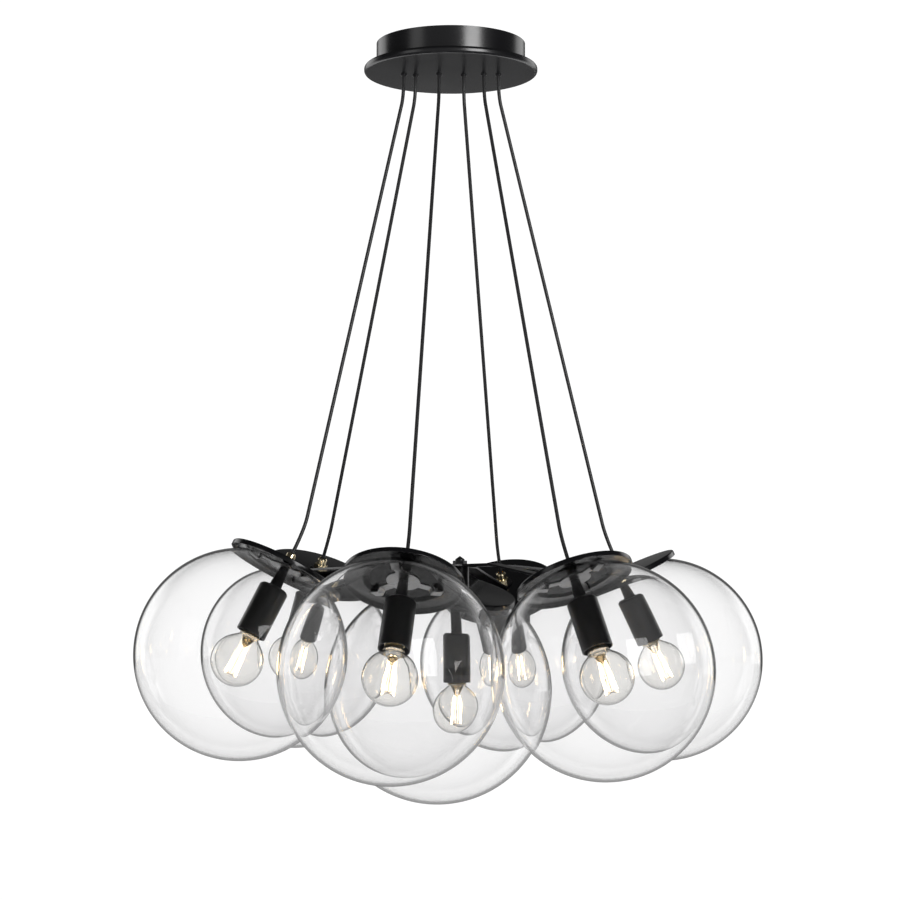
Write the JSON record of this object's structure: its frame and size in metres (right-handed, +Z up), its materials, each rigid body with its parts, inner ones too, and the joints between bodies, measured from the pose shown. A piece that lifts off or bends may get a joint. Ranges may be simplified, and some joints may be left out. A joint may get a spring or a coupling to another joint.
{
  "type": "cluster pendant light",
  "caption": "Cluster pendant light: clear glass globes with glowing golf-ball bulbs under black lids, hung on straight black cords from a stepped round black canopy.",
  "frame": {"origin": "middle of the ceiling face of the ceiling plate", "axes": "+Z up to the ceiling, the usual front faces -Y, +X to the right of someone in front"},
  "size_m": [0.5458, 0.5854, 0.676],
  "materials": {
    "black_metal": "gloss",
    "black_sheet": "satin",
    "plated_sheet": "satin",
    "bright_steel": "gloss",
    "spring_steel": "satin",
    "brass": "satin",
    "socket_brass": "satin",
    "bulb_cap": "satin",
    "holder_black": "gloss",
    "black_plastic": "satin",
    "white_plastic": "satin",
    "clear_glass": "gloss",
    "bulb_glass": "gloss",
    "filament": "gloss",
    "black_cord": "matte"
  },
  "bodies": {
    "canopy": {"ceiling_plate": "plated_sheet", "canopy_cup": "black_metal", "canopy_plate": "black_metal", "cup_screws": "bright_steel", "terminal_block": "white_plastic", "cord_outlets": "black_plastic"},
    "cluster": {"star_bracket": "black_sheet", "globe_clips": "spring_steel", "cord_nipples": "brass", "lamp_sockets": "socket_brass", "lid_1": "black_metal", "lid_2": "black_metal", "lid_3": "black_metal", "lid_4": "black_metal", "lid_5": "black_metal", "lid_6": "black_metal", "lid_7": "black_metal", "globe_1": "clear_glass", "globe_2": "clear_glass", "globe_3": "clear_glass", "globe_4": "clear_glass", "globe_5": "clear_glass", "globe_6": "clear_glass", "globe_7": "clear_glass", "lamp_holder_1": "holder_black", "lamp_holder_2": "holder_black", "lamp_holder_3": "holder_black", "lamp_holder_4": "holder_black", "lamp_holder_5": "holder_black", "lamp_holder_6": "holder_black", "lamp_holder_7": "holder_black"},
    "cord_1": {"cord_1": "black_cord"},
    "cord_2": {"cord_2": "black_cord"},
    "cord_3": {"cord_3": "black_cord"},
    "cord_4": {"cord_4": "black_cord"},
    "cord_5": {"cord_5": "black_cord"},
    "cord_6": {"cord_6": "black_cord"},
    "bulb_1": {"bulb_cap_1": "bulb_cap", "bulb_glass_1": "bulb_glass", "bulb_filaments_1": "filament"},
    "bulb_2": {"bulb_cap_2": "bulb_cap", "bulb_glass_2": "bulb_glass", "bulb_filaments_2": "filament"},
    "bulb_3": {"bulb_cap_3": "bulb_cap", "bulb_glass_3": "bulb_glass", "bulb_filaments_3": "filament"},
    "bulb_4": {"bulb_cap_4": "bulb_cap", "bulb_glass_4": "bulb_glass", "bulb_filaments_4": "filament"},
    "bulb_5": {"bulb_cap_5": "bulb_cap", "bulb_glass_5": "bulb_glass", "bulb_filaments_5": "filament"},
    "bulb_6": {"bulb_cap_6": "bulb_cap", "bulb_glass_6": "bulb_glass", "bulb_filaments_6": "filament"},
    "bulb_7": {"bulb_cap_7": "bulb_cap", "bulb_glass_7": "bulb_glass", "bulb_filaments_7": "filament"}
  },
  "joints": [
    {"name": "cluster_sway", "type": "hinge", "parent": "canopy", "child": "cluster", "pos_m": [0, 0, 0.144], "axis": [0, 1, 0], "range_deg": [-4, 4]},
    {"name": "cord_1_sway", "type": "hinge", "parent": "canopy", "child": "cord_1", "pos_m": [-0.042, 0.001, -0.02775], "axis": [0, 1, 0], "range_deg": [-5.6, 5.6]},
    {"name": "cord_2_sway", "type": "hinge", "parent": "canopy", "child": "cord_2", "pos_m": [-0.0315, 0.004, -0.02775], "axis": [0, 1, 0], "range_deg": [-5.6, 5.6]},
    {"name": "cord_3_sway", "type": "hinge", "parent": "canopy", "child": "cord_3", "pos_m": [-0.0105, 0, -0.02775], "axis": [0, 1, 0], "range_deg": [-5.6, 5.6]},
    {"name": "cord_4_sway", "type": "hinge", "parent": "canopy", "child": "cord_4", "pos_m": [0.0115, 0.004, -0.02775], "axis": [0, 1, 0], "range_deg": [-5.6, 5.6]},
    {"name": "cord_5_sway", "type": "hinge", "parent": "canopy", "child": "cord_5", "pos_m": [0.0295, 0, -0.02775], "axis": [0, 1, 0], "range_deg": [-5.6, 5.6]},
    {"name": "cord_6_sway", "type": "hinge", "parent": "canopy", "child": "cord_6", "pos_m": [0.0425, 0.002, -0.02775], "axis": [0, 1, 0], "range_deg": [-5.6, 5.6]},
    {"name": "bulb_1_turn", "type": "hinge", "parent": "cluster", "child": "bulb_1", "pos_m": [-0.18094, -0.06946, -0.5483], "axis": [-0.4383, -0.1682, -0.8829], "range_deg": [0, 720]},
    {"name": "bulb_2_turn", "type": "hinge", "parent": "cluster", "child": "bulb_2", "pos_m": [-0.14904, 0.15983, -0.54844], "axis": [-0.2882, 0.3091, -0.9063], "range_deg": [0, 720]},
    {"name": "bulb_3_turn", "type": "hinge", "parent": "cluster", "child": "bulb_3", "pos_m": [-0.04789, -0.20745, -0.56075], "axis": [-0.1091, -0.4724, -0.8746], "range_deg": [0, 720]},
    {"name": "bulb_4_turn", "type": "hinge", "parent": "cluster", "child": "bulb_4", "pos_m": [0.06227, 0.20369, -0.5572], "axis": [0.1462, 0.4782, -0.866], "range_deg": [0, 720]},
    {"name": "bulb_5_turn", "type": "hinge", "parent": "cluster", "child": "bulb_5", "pos_m": [0.12697, -0.14606, -0.56144], "axis": [0.2773, -0.319, -0.9063], "range_deg": [0, 720]},
    {"name": "bulb_6_turn", "type": "hinge", "parent": "cluster", "child": "bulb_6", "pos_m": [0.18998, 0.03693, -0.55394], "axis": [0.4149, 0.0806, -0.9063], "range_deg": [0, 720]},
    {"name": "bulb_7_turn", "type": "hinge", "parent": "cluster", "child": "bulb_7", "pos_m": [0.008, 0, -0.594], "axis": [0, 0, -1], "range_deg": [0, 720]}
  ],
  "couplings": [
    {"joint": "cord_1_sway", "follows": "cluster_sway", "ratio": 1.3985},
    {"joint": "cord_2_sway", "follows": "cluster_sway", "ratio": 1.3967},
    {"joint": "cord_3_sway", "follows": "cluster_sway", "ratio": 1.3848},
    {"joint": "cord_4_sway", "follows": "cluster_sway", "ratio": 1.3866},
    {"joint": "cord_5_sway", "follows": "cluster_sway", "ratio": 1.3877},
    {"joint": "cord_6_sway", "follows": "cluster_sway", "ratio": 1.3939}
  ]
}
